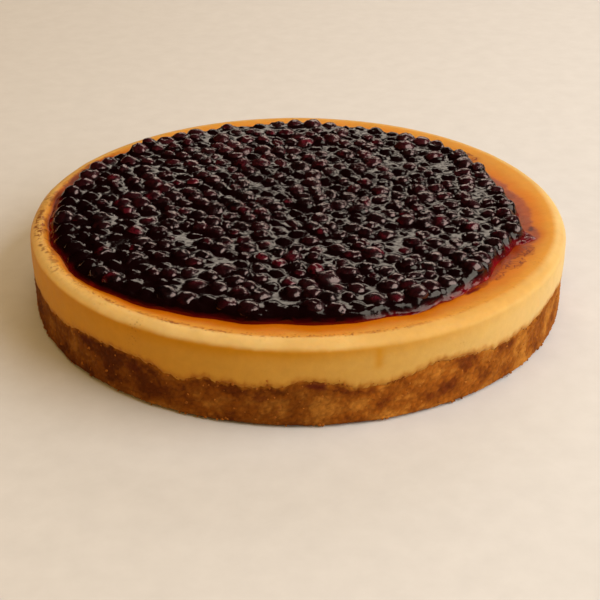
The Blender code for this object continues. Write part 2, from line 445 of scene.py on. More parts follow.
def top_height(radius, angle):
    """Height of the filling's upper surface, from its crest inward."""
    crest = CAKE_RADIUS - CREST_INSET
    rim = rim_height(angle)
    dish = topping_edge(angle) + DISH_CLEARANCE
    inward = np.clip((crest - radius) / np.maximum(crest - dish, 0.5 * MM), 0, 1)
    return rim - (rim - DISH_HEIGHT) * step(0, 1, inward * 0.92)


def make_filling():
    foot = rim_height(TURNS) - SHOULDER_RADIUS
    hem = fine_edge(TURNS) - 1.6 * MM
    tuck_depth, tuck_height = 0.75 * MM, 2.4 * MM
    rings = [(CAKE_RADIUS - 9 * MM, 15 * MM)]
    for share in np.arange(SIDE_ROWS) / SIDE_ROWS:
        height = hem + (foot - hem) * share
        tuck = tuck_depth * (1 - step(0, tuck_height, height - hem))
        belly = (0.28 * share - 0.45 + 0.3 * math.sin(math.pi * share)) * MM
        rings.append((CAKE_RADIUS + belly - tuck, height))
    shoulder = CAKE_RADIUS - 0.17 * MM
    crest = CAKE_RADIUS - CREST_INSET
    for turn in np.linspace(0, math.pi / 2, SHOULDER_ROWS + 1):
        across = shoulder - (shoulder - crest) * (1 - math.cos(turn))
        rings.append((across, foot + SHOULDER_RADIUS * math.sin(turn)))
    inner = topping_edge(TURNS) - HIDDEN_RIM
    for share in np.arange(1, TOP_ROWS + 1) / TOP_ROWS:
        radius = crest + (inner - crest) * share
        rings.append((radius, top_height(radius, TURNS)))
    rings.append((HIDDEN_RADIUS, DISH_HEIGHT))
    rows = len(rings)
    points, turn = revolved(rings)

    # Soft waves: outward on the side, and upward on the top.
    wave = 0.28 * MM * cloud(points, 22 * MM, 3, 3) + 0.06 * MM * cloud(points, 3 * MM, 8, 3)
    row = np.repeat(np.arange(rows), COLUMNS)
    risen = step(SIDE_ROWS + 4, SIDE_ROWS + 14, row)
    points += on_circle(turn) * (wave * step(0, 3, row) * (1 - risen))[:, None]
    points[:, 2] += 0.8 * wave * risen * (1 - step(rows - 4, rows - 1, row))

    degrees = (np.degrees(turn) + 180) % 360 - 180
    colours, detail = filling_paint(points, degrees, np.hypot(points[:, 0], points[:, 1]))
    piece = add_mesh("filling_visual", points, revolved_faces(rows), filling_material(), colours, detail)
    close_ends(piece, rows)
    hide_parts("filling")


def close_ends(piece, rows):
    """Closes the first and last ring of a revolved grid with one face each."""
    mesh = bmesh.new()
    mesh.from_mesh(piece.data)
    mesh.verts.ensure_lookup_table()
    mesh.faces.new([mesh.verts[k] for k in reversed(range(COLUMNS))])
    mesh.faces.new([mesh.verts[(rows - 1) * COLUMNS + k] for k in range(COLUMNS)])
    mesh.to_mesh(piece.data)
    mesh.free()


def blotch(points, degrees, out, bearing, place, along, across, seed):
    """A mask with an uneven edge around one place on the rim: half sizes along and across it in mm."""
    reach = np.hypot(np.radians(off(degrees, bearing)) * place / along, (out - place) / across)
    return 1 - step(0.7, 1.15, reach + 0.45 * cloud(points, 2.5 * MM, seed, 3))


STAINS = (
    # bearing, radius in mm, half length, half width, colour, strength, creased
    (-21, 99.8, 6.5, 4.6, (158, 44, 16), 1, True),
    (-28.5, 97.6, 7.5, 5, (162, 50, 12), 1, True),
    (-36, 96, 7, 3.8, (168, 44, 18), 1, True),
    (-42.5, 96.4, 6, 2.6, (160, 26, 26), 1, True),
    (-46, 97.2, 4, 1.2, (130, 14, 26), 1, False),
    (37.5, 101.5, 7.5, 3.2, (176, 88, 24), 0.55, True),
    (-4, 97.5, 5, 2.2, (120, 24, 12), 0.7, True),
    (-9, 99.5, 2.6, 1.2, (96, 10, 12), 0.9, False),
    (12, 96.5, 5, 2, (110, 20, 12), 0.6, True),
    (155, 107.5, 22, 1.6, (128, 34, 14), 0.8, True),
    (176, 109.3, 8, 1.5, (128, 60, 10), 0.75, True),
    (-168, 108.8, 8, 1.3, (140, 68, 12), 0.7, True),
    (-157, 107.2, 6, 1.1, (150, 62, 14), 0.75, True),
)


# A pale cream for painted light: the lit right side, and the sheen on the crest and at the front left.
PALE_PAINTED_LIGHT = np.array([0.74, 0.57, 0.26])
# An amber cream: painted shade at the left and under the crest, on the crest at the right front, and the
# colour of one drip.
AMBER = lit(234, 158, 22)


def side_paint(rise, degrees, side, mottle, fine):
    """The side's cream with painted shade and light: amber painted shade at the left and in a band under the
    crest, a paler painted light at the right, and one amber drip.
    """
    below = rim_height(np.radians(degrees)) / MM - rise + 0.6 * mottle
    # A band of painted shade just under the crest.
    under = side * step(2.4, 3.7, below) * bell(np.clip(below - 3.7, 0, None), 3.2)
    drip = bell(np.radians(degrees + 75) * CAKE_RADIUS / MM, 1.8 + 0.6 * fine)
    drip *= side * step(22, 26, rise) * (1 - step(31, 33, rise))
    return layered(
        lit(249, 190, 84),
        # Painted shade at the left, painted light at the right, then painted shade under the crest, and the
        # drip.
        (AMBER, 0.85 * facing(degrees, -150, 58) * side),
        (PALE_PAINTED_LIGHT * (0.84, 0.81, 0.8), 0.75 * facing(degrees, -18, 50) * side),
        (AMBER, (0.1 + 0.85 * bell(degrees + 112, 44)) * under),
        (AMBER, 0.7 * drip),
    )


def top_paint(points, degrees, radius, colours, top, mottle, fine):
    """Gold, browner towards the glaze, with the brown film beside it. Also how near the film's edge is."""
    edge, glazed = (outline(np.radians(degrees)) for outline in (film_edge, glaze_edge))
    ledge = CAKE_RADIUS - 6 * MM
    inward = (ledge - radius) / np.maximum(ledge - edge, 1 * MM)
    toast = top * step(0.1, 0.85, inward + 0.3 * mottle + 0.08 * fine + 0.25 * bell(degrees + 95, 40))
    contact = top * np.exp(-np.clip(radius - edge, 0, None) / (0.8 * MM))
    spread = (radius - glazed) / np.maximum(edge - glazed, 0.2 * MM)
    patch = np.clip(0.25 + 0.55 * spread + 0.9 * cloud(points, 4.5 * MM, 57, 3), 0, 1)
    film = top * (1 - step(0.86, 1.1, spread + 0.1 * fine))
    colours = layered(
        colours,
        (lit(252, 172, 50), top * 0.95),
        (blend(lit(250, 146, 14), lit(236, 130, 8), facing(degrees, -125, 52)), toast),
        (lit(190, 72, 6), 0.7 * contact),
        (blend(lit(138, 26, 6), lit(196, 86, 10), patch), 0.92 * film),
    )
    return colours, contact


def stained(points, degrees, out, colours, top):
    """The stains by the glaze, and burnt flecks at the far left. Also where they are creased."""
    crease = np.zeros(len(points))
    for order, (bearing, place, along, across, colour, strength, creased) in enumerate(STAINS):
        mask = top * blotch(points, degrees, out, bearing, place, along, across, 100 + order)
        if creased:
            crease = np.maximum(crease, mask)
            mask = mask * (0.45 + 0.3 * cloud(points, 3 * MM, 130 + order, 2))
        colours = blend(colours, lit(*colour), strength * mask)
    burnt = bell(degrees % 360 - 190, 24) * step(104, 107.5, out) * (1 - step(111, 113.4, out))
    crease = np.maximum(crease, burnt * step(-0.25, 0.15, cloud(points, 7 * MM, 152, 2)))
    flecks = step(0.15, 0.5, cloud(points, 2.2 * MM, 153, 2))
    return blend(colours, lit(132, 52, 6), 0.85 * burnt * flecks), crease


def filling_paint(points, degrees, radius):
    """Colours, and the detail layer: roughness, pits and creases."""
    rise, out = points[:, 2] / MM, radius / MM
    mottle = cloud(points, 14 * MM, 40, 3)
    fine = cloud(points, 3 * MM, 44, 3)
    side = 1 - step(CAKE_RADIUS - 3 * MM, CAKE_RADIUS - 5 * MM, radius)
    top = step(CAKE_RADIUS - 4 * MM, CAKE_RADIUS - 6.5 * MM, radius)
    front, left = facing(degrees, -125, 52), facing(degrees, -142, 20)

    # The crest: partly its own paler colour and partly a painted sheen, palest at the front left, where its
    # stripe is narrow.
    crest = step(108.2, 109.4, out + 0.8 * mottle + 0.5 * fine)
    crest *= step(32.3, 34.1, rise + 0.7 * mottle + 0.4 * fine)
    crest *= 1 - 0.55 * left * step(34.6, 35.4, rise + 0.4 * mottle)
    colours = layered(
        side_paint(rise, degrees, side, mottle, fine),
        # A painted highlight on the side's top at the front left, where the crest's painted sheen sits lower.
        (PALE_PAINTED_LIGHT * (1.14, 1.06, 0.8), 0.9 * left * side * step(31.8, 33.4, rise)),
        (PALE_PAINTED_LIGHT, np.clip(0.2 + 0.75 * front + 0.3 * mottle, 0, 1) * crest),
        # More amber on the crest at the right front, where its painted sheen is weaker.
        (AMBER, 0.45 * crest * bell(degrees + 46, 26)),
    )
    colours, contact = top_paint(points, degrees, radius, colours, top, mottle, fine)
    colours, crease = stained(points, degrees, out, colours, top)

    # The border with the crust: browner, with specks.
    above = rise - fine_edge(np.radians(degrees)) / MM + cloud(points, 2.2 * MM, 46, 3, 0.7)
    browner = (1 - step(0.3, 3.4, above)) * side
    speck = (1 - step(0, 2.4, above)) * step(-0.2, 0.3, cloud(points, 1.8 * MM, 48, 3)) * side
    # The broken brown line along the crest, with its pits and creases, and the pits elsewhere.
    crest_line = bell(degrees + 112, 46)
    wander = 0.9 * cloud(points, 6 * MM, 156, 2) + 0.6 * cloud(points, 1.7 * MM, 157, 2)
    seam = crest_line * bell(out - 108.6 - wander, 0.42)
    seam *= step(-0.15, 0.2, cloud(points, 2.4 * MM, 158, 2))
    borders = (lit(222, 148, 50), 0.75 * browner), (lit(192, 112, 30), 0.85 * speck)
    colours = layered(colours, *borders, (lit(160, 84, 12), 0.85 * seam))
    crinkle = crest_line * bell(out - 108.3 - 0.7 * mottle, 0.75)
    crease = np.maximum(crease, 0.8 * crinkle * step(-0.3, 0.2, cloud(points, 6 * MM, 155, 2)))
    pits = 1.7 * crest_line * bell(out - 108.4, 1.6) * step(110.5, 109, out)
    pits += 0.35 * top * bell(out - 108, 4) * step(0.1, 0.6, cloud(points, 12 * MM, 47, 2))
    pits += 0.6 * side * step(0.3, 0.7, cloud(points, 12 * MM, 49, 2))
    roughness = 0.5 - 0.1 * crest + 0.06 * mottle - 0.12 * contact
    detail = np.stack([np.clip(roughness, 0.1, 0.9), np.clip(pits, 0, 1), np.clip(crease, 0, 1)], 1)
    return np.clip(colours * (1 + 0.06 * mottle)[:, None], 0, 1), detail


# The crust

def make_crust():
    edge = fine_edge(TURNS)
    inside = CAKE_RADIUS - 14 * MM
    foot_depth, foot_height = 1.1 * MM, 1.3 * MM
    low, high = 0.25 * MM, edge + 0.9 * MM
    rings = [(inside, 0), (CAKE_RADIUS - 2.2 * MM, 0)]
    for share in np.arange(CRUST_ROWS + 1) / CRUST_ROWS:
        foot = foot_depth * (1 - min(1, share * edge.mean() / foot_height)) ** 2
        height = low + (high - low) * share
        tuck = 0.9 * MM * step(edge - 1.6 * MM, high, height)
        rings.append((CAKE_RADIUS - low - foot - tuck, height))
    rings += [(CAKE_RADIUS - inset * MM, edge + 0.8 * MM) for inset in (1.8, 3.0)]
    rings.append((inside, 14 * MM))
    points, turn = revolved(rings)

    # Crumbs of two sizes, on the rings of the side alone.
    row = np.repeat(np.arange(len(rings)), COLUMNS)
    outer = (row >= 2) & (row <= CRUST_ROWS + 2)
    near, second, tag = cells(points, 2.6 * MM, 5)
    fine_near, fine_second, fine_tag = cells(points, 1.2 * MM, 9)
    gap = step(0, 0.28, second - near)
    fine_gap = step(0, 0.3, fine_second - fine_near)
    lump = 0.55 * (1 - near) * gap + 0.22 * (1 - fine_near) * fine_gap + 0.35 * cloud(points, 7 * MM, 21, 3)
    relief = (lump - 0.42) * 0.8 * MM
    points += on_circle(turn) * (np.clip(relief, -1.0 * MM, 0.4 * MM) * outer)[:, None]
    colours = crust_paint(points, tag, fine_tag, gap, fine_gap, turn)
    piece = add_mesh(
        "crust_visual", points, revolved_faces(len(rings)), crust_material("crumb crust", 0.7), colours,
    )
    close_ends(piece, len(rings))
    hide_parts("crust")


# Painted light and shade on the crust by bearing: darker at the left, lighter at the right front.
CRUST_PAINTED_SHADING = {
    -180: 0.62, -150: 0.56, -128: 0.58, -105: 0.7, -92: 0.67, -75: 1, -60: 1.06, -45: 0.94, -30: 0.92,
    20: 0.95, 90: 0.85, 140: 0.72,
}
CRUST_DARKS = (
    # bearing, height in mm, half length, half height, strength
    (-86.2, 18.2, 4.4, 2.2, 0.9), (-80.6, 20.6, 1.6, 1, 0.8), (-97, 12, 3.5, 1.6, 0.4),
    (-123, 14.5, 3, 2, 0.4), (-136, 17.5, 3.6, 2.2, 0.4), (-60, 8, 3, 1.6, 0.3),
    (20, 12, 3.4, 1.8, 0.4), (75, 14, 3.6, 2.2, 0.5), (140, 9, 3.4, 2, 0.4),
)


def crust_paint(points, tag, fine_tag, gap, fine_gap, angle):
    """Colours by crumb and by place, with painted shade between crumbs, painted light and shade by bearing,
    and the filling's colour where it smears over the upper edge.
    """
    degrees, rise, edge = np.degrees(angle), points[:, 2] / MM, fine_edge(angle) / MM
    share = 0.5 + 0.85 * cloud(points, 8 * MM, 77, 4) + 0.2 * (tag - 0.5) + 0.16 * (fine_tag - 0.5)
    share += 0.1 * (1 - step(1, 6, rise)) - 0.12 * bell(rise - edge + 1.8, 2.2)
    # The cosine term is painted light, lighter towards the right front.
    share += 0.1 * np.cos(angle + math.radians(22)) + 0.25 * cloud(points, 24 * MM, 78, 2)
    middling, light = step(0.1, 0.5, share), step(0.5, 0.95, share)
    colours = layered(tone(110, 51, 9), (tone(149, 83, 20), middling), (tone(186, 121, 45), light))
    # Painted shade in the gaps between crumbs, and painted light and shade by bearing.
    painted_crevice_shade = 1 - 0.2 * (1 - gap) - 0.1 * (1 - fine_gap)
    colours = colours * (painted_crevice_shade * smooth_lookup(CRUST_PAINTED_SHADING, degrees))[:, None]
    for bearing, middle, along, across, strength in CRUST_DARKS:
        turn = np.radians(off(degrees, bearing))
        reach = np.hypot(turn * CAKE_RADIUS / MM / along, (rise - middle) / across)
        mask = 1 - step(0.6, 1.15, reach + 0.5 * cloud(points, 2 * MM, 79, 3))
        colours = blend(colours, tone(82, 27, 13), strength * mask)
    smear = 1 - step(-0.4, 1.6, edge - rise + 1.5 * cloud(points, 2.2 * MM, 80, 3, 0.7))
    return blend(colours, lit(206, 132, 42), 0.8 * smear * (1 - 0.8 * facing(degrees, -86, 2.6)))


def make_crumbs():
    """Crumbs pressed into the side of the crust, most along its upper edge and its foot."""
    draw = np.random.default_rng(CRUMB_SEED)
    ball, ball_faces = icosphere()
    points, faces, colours = [], [], []
    for index in range(CRUMB_COUNT):
        angle = draw.uniform(0, math.tau)
        shares = [draw.uniform(0, 1), 1 + draw.normal(0, 0.05), abs(draw.normal(0, 0.05))]
        share = draw.choice(shares, p=[0.5, 0.35, 0.15])
        size = draw.uniform(0.25, 0.65) * MM * (1.5 if draw.random() < 0.1 else 1)
        height = max(size * 1.55, share * float(fine_edge(np.array([angle]))[0]))
        radius = CAKE_RADIUS - 0.35 * MM - size * 0.6
        stretch = draw.uniform(0.65, 1.25, 3)
        bumps = 1 + draw.uniform(-0.22, 0.22, len(ball))
        local = (ball * bumps[:, None] * stretch) @ random_turn(draw).T * size
        points.append(local + (radius * math.cos(angle), radius * math.sin(angle), height))
        faces.append(ball_faces + len(ball) * index)
        colour = blend(tone(116, 60, 16), tone(172, 108, 42), [draw.beta(2, 2)])
        colours.append(np.repeat(colour, len(ball), 0))
    piece = add_mesh(
        "crust_crumbs", np.concatenate(points), np.concatenate(faces),
        crust_material("loose crumb", 0.5), np.concatenate(colours), smooth=False,
    )


def random_turn(draw):
    """A random rotation matrix."""
    q = draw.normal(size=4)
    w, x, y, z = q / np.linalg.norm(q)
    return np.array([
        [1 - 2 * (y * y + z * z), 2 * (x * y - z * w), 2 * (x * z + y * w)],
        [2 * (x * y + z * w), 1 - 2 * (x * x + z * z), 2 * (y * z - x * w)],
        [2 * (x * z - y * w), 2 * (y * z + x * w), 1 - 2 * (x * x + y * y)],
    ])


def icosphere():
    """Points on the unit sphere and their triangles, from an icosahedron cut once."""
    golden = (1 + math.sqrt(5)) / 2
    pairs = [(short, long) for long in (golden, -golden) for short in (-1, 1)]
    points = [(a, b, 0) for a, b in pairs] + [(0, a, b) for a, b in pairs] + [(b, 0, a) for a, b in pairs]
    points = [np.array(point, float) / math.hypot(1, golden) for point in points]
    faces = [
        (0, 11, 5), (0, 5, 1), (0, 1, 7), (0, 7, 10), (0, 10, 11), (1, 5, 9), (5, 11, 4), (11, 10, 2),
        (10, 7, 6), (7, 1, 8), (3, 9, 4), (3, 4, 2), (3, 2, 6), (3, 6, 8), (3, 8, 9), (4, 9, 5),
        (2, 4, 11), (6, 2, 10), (8, 6, 7), (9, 8, 1),
    ]
    middle, finer = {}, []

    def between(a, b):
        key = (min(a, b), max(a, b))
        if key not in middle:
            point = points[a] + points[b]
            points.append(point / np.linalg.norm(point))
            middle[key] = len(points) - 1
        return middle[key]

    for a, b, c in faces:
        ab, bc, ca = between(a, b), between(b, c), between(c, a)
        finer += [(a, ab, ca), (b, bc, ab), (c, ca, bc), (ab, bc, ca)]
    return np.array(points), np.array(finer)


def cube_sphere(cuts):
    """A unit sphere from a cube with its sides cut into cuts by cuts squares, as triangles."""
    places, faces = {}, []
    for axis in range(3):
        u, v = [k for k in range(3) if k != axis]
        for sign, i, j in product((-1, 1), range(cuts), range(cuts)):
            quad = []
            for di, dj in ((0, 0), (1, 0), (1, 1), (0, 1)):
                corner = [0, 0, 0]
                corner[axis], corner[u], corner[v] = sign * cuts, 2 * (i + di) - cuts, 2 * (j + dj) - cuts
                quad.append(places.setdefault(tuple(corner), len(places)))
            if (sign > 0) != (axis != 1):
                quad.reverse()
            faces += [(quad[0], quad[1], quad[2]), (quad[0], quad[2], quad[3])]
    grid = np.tan(np.array(list(places), float) / cuts * math.pi / 4)
    return grid / np.linalg.norm(grid, axis=1)[:, None], np.array(faces)


# The topping

def scattered():
    """Centre x, centre y and radius of every berry before they are pushed apart, largest first."""
    draw = random.Random(BERRY_SEED)
    spots = []
    edge_row = round(math.tau * float(topping_edge(0.0)) / BERRY_PITCH)
    for index in range(edge_row):
        angle = (index + draw.uniform(-0.15, 0.15)) * math.tau / edge_row
        radius = draw.triangular(*LARGE_BERRY)
        out = float(topping_edge(angle)) - radius - BERRY_MARGIN - draw.uniform(0, EDGE_JITTER)
        spots.append((out * math.cos(angle), out * math.sin(angle), radius))
    row_step = BERRY_PITCH * math.sqrt(3) / 2
    rows = int(CAKE_RADIUS / row_step)
    for row, column in product(range(-rows, rows + 1), repeat=2):
        x = (column + 0.5 * (row % 2)) * BERRY_PITCH + draw.uniform(-BERRY_JITTER, BERRY_JITTER)
        y = row * row_step + draw.uniform(-BERRY_JITTER, BERRY_JITTER)
        radius = draw.triangular(*(SMALL_BERRY if draw.random() < SMALL_SHARE else LARGE_BERRY))
        if math.hypot(x, y) < topping_edge(math.atan2(y, x)) - EDGE_ROW_WIDTH:
            spots.append((x, y, radius))
    return np.array(sorted(spots, key=lambda spot: -spot[2]))


def berry_spots():
    """Centres, radii and tops of the berries, by the rule that placed the fused ones."""
    spots = scattered()
    centres, radii = spots[:, :2].copy(), spots[:, 2]
    reach = radii[:, None] + radii[None, :]
    for _ in range(PUSH_STEPS):
        apart = centres[:, None] - centres[None, :]
        distance = np.hypot(apart[..., 0], apart[..., 1])
        np.fill_diagonal(distance, 1)
        overlap = np.clip(reach - distance, 0, None)
        np.fill_diagonal(overlap, 0)
        centres += PUSH_SHARE * (apart * (overlap / distance)[..., None]).sum(1)
        limit = topping_edge(np.arctan2(centres[:, 1], centres[:, 0])) - radii - BERRY_MARGIN
        centres /= np.maximum(1, np.hypot(*centres.T) / limit)[:, None]
    draw = random.Random(BERRY_SEED)
    tops = []
    for x, y in centres:
        turn = math.atan2(y, x) - math.radians(SUNK_BEARING)
        near_edge = (math.hypot(x, y) / CAKE_RADIUS) ** 6
        tops.append(draw.uniform(*BERRY_TOP) - SUNK_DEPTH * near_edge * max(0, math.cos(turn)) ** 2)

    # What the fused ones don't have: hollows and single berries that lie lower, and a clear edge.
    flat = on_floor(*centres.T)
    tops -= 1.1 * MM * step(0.05, 0.6, cloud(flat, 15 * MM, 91, 2))
    tops += 0.75 * MM * lattice(flat / (5 * MM), 92) - 1.1 * MM * sunk_share(*centres.T)
    sunk = np.random.default_rng(SINKING_SEED).random(len(tops)) > RAISED_SHARE
    tops = np.minimum(tops - 0.9 * MM * sunk, BERRY_TOP[1] + 0.1 * MM)
    limit = glaze_edge(np.arctan2(centres[:, 1], centres[:, 0])) - radii - 1.4 * MM
    distance = np.hypot(*centres.T)
    return centres * (np.minimum(distance, limit) / distance)[:, None], radii, tops


def sunk_share(x, y):
    """How much of the low, smooth band at the front left there is at a place."""
    turn = np.arctan2(y, x) - math.radians(SUNK_BEARING)
    return np.clip(np.cos(turn), 0, 1) ** 3 * step(82 * MM, 92 * MM, np.hypot(x, y))


def wrinkling(x, y):
    """How finely wrinkled the topping is: most from the middle to the back, least at the front and left."""
    reach = np.hypot((x - 14 * MM) / (62 * MM), (y - 22 * MM) / (58 * MM))
    return 0.3 + 0.7 * bell(reach, 1)


def coated(x, y, top):
    """Whether the glaze covers a berry: the low ones, and somewhat higher ones where it is wrinkled."""
    return top < COATED_BELOW + 1.0 * MM * (wrinkling(x, y) - 0.3)


def filler_spots(centres, radii):
    """Small berries sunk in the gaps that the others leave."""
    draw = np.random.default_rng(FILLER_SEED)
    kept, sizes, tops = np.zeros((0, 2)), np.zeros(0), []
    for _ in range(FILLER_TRIES):
        spot = draw.uniform(-CAKE_RADIUS, CAKE_RADIUS, 2)
        radius = draw.uniform(*FILLER_RADIUS)
        reach = float(glaze_edge(math.atan2(spot[1], spot[0]))) - radius - FILLER_MARGIN
        others = (centres, radii), (kept, sizes)
        if math.hypot(*spot) > reach or any(
            (np.hypot(*(places - spot).T) < closeness * (around + radius)).any()
            for (places, around), closeness in zip(others, FILLER_CLOSENESS)
        ):
            continue
        kept, sizes = np.vstack([kept, spot]), np.append(sizes, radius)
        tops.append(draw.uniform(*FILLER_TOP))
    return kept, sizes, np.array(tops)


def ring_start(ring):
    """The number of a ring's first point, where ring k has 6 k points around one in the middle."""
    return 0 if ring == 0 else 1 + 3 * ring * (ring - 1)


def disc_faces(rings):
    """Triangles of a disc of such rings."""
    faces = []
    for ring in range(rings):
        inner, outer = ring_start(ring), ring_start(ring + 1)
        for sector in range(6):
            i = np.arange(ring + 1)
            inside = inner + (sector * ring + i) % max(6 * ring, 1)
            start = outer + sector * (ring + 1) + i
            end = outer + (sector * (ring + 1) + i + 1) % (6 * (ring + 1))
            faces.append(np.stack([inside, start, end], 1))
            if ring:
                a = inner + (sector * ring + i[:-1]) % (6 * ring)
                b = inner + (sector * ring + i[:-1] + 1) % (6 * ring)
                faces.append(np.stack([a, outer + sector * (ring + 1) + i[:-1] + 1, b], 1))
    return np.concatenate(faces)


def make_glaze(centres, radii, tops):
    """The glaze as a fine surface that climbs each berry and thins out over the rim."""
    counts = 6 * np.arange(1, GLAZE_RINGS + 1)
    ring = np.concatenate([[0], *[np.full(count, count // 6) for count in counts]])
    angle = np.concatenate([[0.0], *[np.arange(count) * math.tau / count for count in counts]])
    degrees = np.degrees(angle)
    reach = hem_edge(angle)
    radius = ring / GLAZE_RINGS * reach
    x, y = radius * np.cos(angle), radius * np.sin(angle)
    flat = on_floor(x, y)
    right, left = facing(degrees, -26, 28), facing(degrees, 165, 30)
    wrinkled = wrinkling(x, y)

    # Its depth over the filling: full inside its slope, and a thin uneven hem outside it.
    base = top_height(np.maximum(radius, 1e-6), angle)
    inside = glaze_edge(angle) - radius
    run = smooth_lookup(GLAZE_SLOPE, degrees) * MM
    thick = (SURFACE_LEVEL - DISH_HEIGHT) * (1 - np.clip(1 - inside / run, 0, 1) ** 2.2) ** 0.9
    thin = FILM_DEPTH * (1 - (1 - np.clip((reach - radius) / (2.5 * MM), 0, 1)) ** 2) ** 0.5
    thin *= 1 + (0.7 + 0.7 * right) * cloud(flat, 2.3 * MM, 55, 2)
    level = base + np.maximum(np.where(inside > 0, thick, 0), thin)

    # Swells, fine ridges, the low band at the front left, and an uneven slope.
    swell = 0.2 + 0.55 * cloud(flat, 18 * MM, 51, 2) + 0.3 * cloud(flat, 5 * MM, 54, 3)
    ridges = np.clip(1 - np.abs(cloud(flat, 3.2 * MM, 58, 2)) / 0.2, 0, 1)
    level += (swell + 0.65 * (wrinkled - 0.25) * (ridges - 0.4)) * MM * step(0, 5 * MM, inside)
    sunk = np.clip(np.cos(angle - math.radians(SUNK_BEARING)), 0, 1) ** 3
    level -= 2.0 * MM * sunk * step(84 * MM, 101 * MM, radius) * step(0, 3 * MM, inside)
    slope = step(-0.3 * MM, 1 * MM, inside) * (1 - step(5 * MM, 9 * MM, inside))
    level += (0.6 + 0.8 * right) * MM * slope * cloud(flat, 2.8 * MM, 56, 2, 0.6)
    level += glaze_climb(x, y, level, centres, radii, tops) * step(-0.1 * MM, 0.8 * MM, inside)

    points = np.stack([x, y, level], 1)
    depth = level - base
    rough = 0.14 + 0.03 * (1 - step(1.2 * MM, 3.6 * MM, depth))
    broken = np.maximum(wrinkled, 1.3 * right * step(9 * MM, 4 * MM, inside))
    colours = glaze_paint(depth, points, np.maximum(right, 0.8 * left))
    layers = np.column_stack([colours, rough, broken, np.zeros_like(x)])
    points, faces, layers = add_skirt(points, disc_faces(GLAZE_RINGS), layers, base - 0.4 * MM)
    piece = add_mesh("glaze_visual", points, faces, glaze_material(), layers[:, :3], layers[:, 3:])
    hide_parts("berry_topping")


def glaze_climb(x, y, level, centres, radii, tops):
    """How far the glaze climbs above its own level beside the berries, and over the low ones."""
    beside, over = np.zeros_like(level), np.zeros_like(level)
    wrinkle = (0.3 + 0.5 * wrinkling(x, y)) * MM * cloud(on_floor(x, y), 2.6 * MM, 63, 2)
    for (cx, cy), r, top in zip(centres, radii, tops):
        half = BERRY_FLATNESS * r
        near = np.nonzero((np.abs(x - cx) < r + 5 * MM) & (np.abs(y - cy) < r + 5 * MM))[0]
        distance = np.hypot(x[near] - cx, y[near] - cy)
        contact = top - half + half * math.sqrt(1 - CONTACT**2)
        fall = np.exp(-np.clip(distance - CONTACT * r, 0, None) / MENISCUS)
        beside[near] += (np.clip(contact - level[near], 0, None) * fall / MM) ** 3
        if coated(cx, cy, top):
            dome = half * (np.sqrt(np.clip(1 - (distance / r) ** 2, 0, 1)) - 1) + top + COAT + wrinkle[near]
            over[near] = np.maximum(over[near], np.where(distance < r, dome - level[near], 0))
    return np.maximum(np.cbrt(beside) * MM, over)


def add_skirt(points, faces, layers, low):
    """Closes the disc with a short skirt and one point underneath."""
    edge = np.arange(ring_start(GLAZE_RINGS), len(points))
    under = points[edge].copy()
    under[:, 2] = low[edge]
    under[:, :2] *= 0.995
    after = np.roll(np.arange(len(edge)), -1)
    a, b = edge, edge[after]
    c, d = len(points) + np.arange(len(edge)), len(points) + after
    centre = np.full(len(edge), len(points) + len(edge))
    closing = [np.stack(corners, 1) for corners in ((a, d, b), (a, c, d), (c, centre, d))]
    faces = np.concatenate([faces, *closing])
    points = np.concatenate([points, under, [[0, 0, under[:, 2].min()]]])
    return points, faces, np.concatenate([layers, layers[edge], layers[:1]])


def glaze_paint(depth, points, redder):
    """Near black where thick, crimson and then brown at the hem, with bright patches where it is redder."""
    patch = redder * step(-0.35, 0.3, cloud(points, 4 * MM, 59, 3))
    deep = depth / MM + 0.5 * cloud(points, 5 * MM, 60, 3)
    return layered(
        blend(tone(112, 14, 10), tone(140, 20, 20), patch),
        (blend(tone(66, 2, 10), tone(104, 3, 20), patch), step(0.15, 0.45, deep)),
        (tone(15, 3, 4), step(0.5 + 0.6 * redder, 1.6 + 2.2 * redder, deep)),
    )


def make_berries(centres, radii, tops):
    """The berries that stand clear of the glaze, in three kinds."""
    draw = np.random.default_rng(KIND_SEED)
    sphere, sphere_faces = cube_sphere(8)
    kinds = {"berries_plump": [], "berries_crowned": [], "berries_wrinkled": []}
    names = list(kinds)
    for index in range(len(radii)):
        if not coated(*centres[index], tops[index]):
            kinds[names[draw.choice(3, p=[0.36, 0.24, 0.4])]].append(index)
    material = berry_material()
    for name, members in kinds.items():
        points, faces, colours, details = [], [], [], []
        for order, index in enumerate(members):
            (x, y), radius = centres[index], radii[index]
            bearing, distance = math.atan2(y, x), math.hypot(x, y)
            local, shade = berry_shape(sphere, name, draw)
            local = local @ tilt_of(name, draw).T
            turn, long = draw.uniform(0, math.pi), draw.uniform(0.94, 1.12)
            along = np.array([math.cos(turn), math.sin(turn), 0])
            local = local + (long - 1) * np.outer(local @ along, along)

            # Those in the front are a little larger, as far as the glaze's edge leaves room.
            ahead = bell(math.degrees(bearing) + 92, 50) * step(55 * MM, 85 * MM, distance)
            room = float(glaze_edge(bearing)) - distance
            grown = draw.uniform(0.93, 1.22) + 0.08 * ahead
            grown = min(grown, max(0.9, (room - 0.9 * MM) / (radius * long)))
            local = local * radius * grown * (1, 1, BERRY_FLATNESS)
            points.append(local + (x, y, tops[index] - local[:, 2].max()))
            faces.append(sphere_faces + order * len(sphere))
            # Painted light: the berries towards the back are painted brighter.
            painted_light_back = 1 + 1.4 * step(-20 * MM, 90 * MM, y)
            colours.append(berry_colour(local / radius, draw, painted_light_back) * shade[:, None])
            rough = 0.21 + 0.45 * step(0.1, -0.6, local[:, 2] / radius) * (room < 9 * MM)
            wrinkled = np.full(len(local), wrinkling(x, y))
            details.append(np.column_stack([rough, wrinkled, np.zeros(len(local))]))
        layers = [np.concatenate(rows) for rows in (points, faces, colours, details)]
        piece = add_mesh(name, *layers[:2], material, *layers[2:])
        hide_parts("berry_topping")


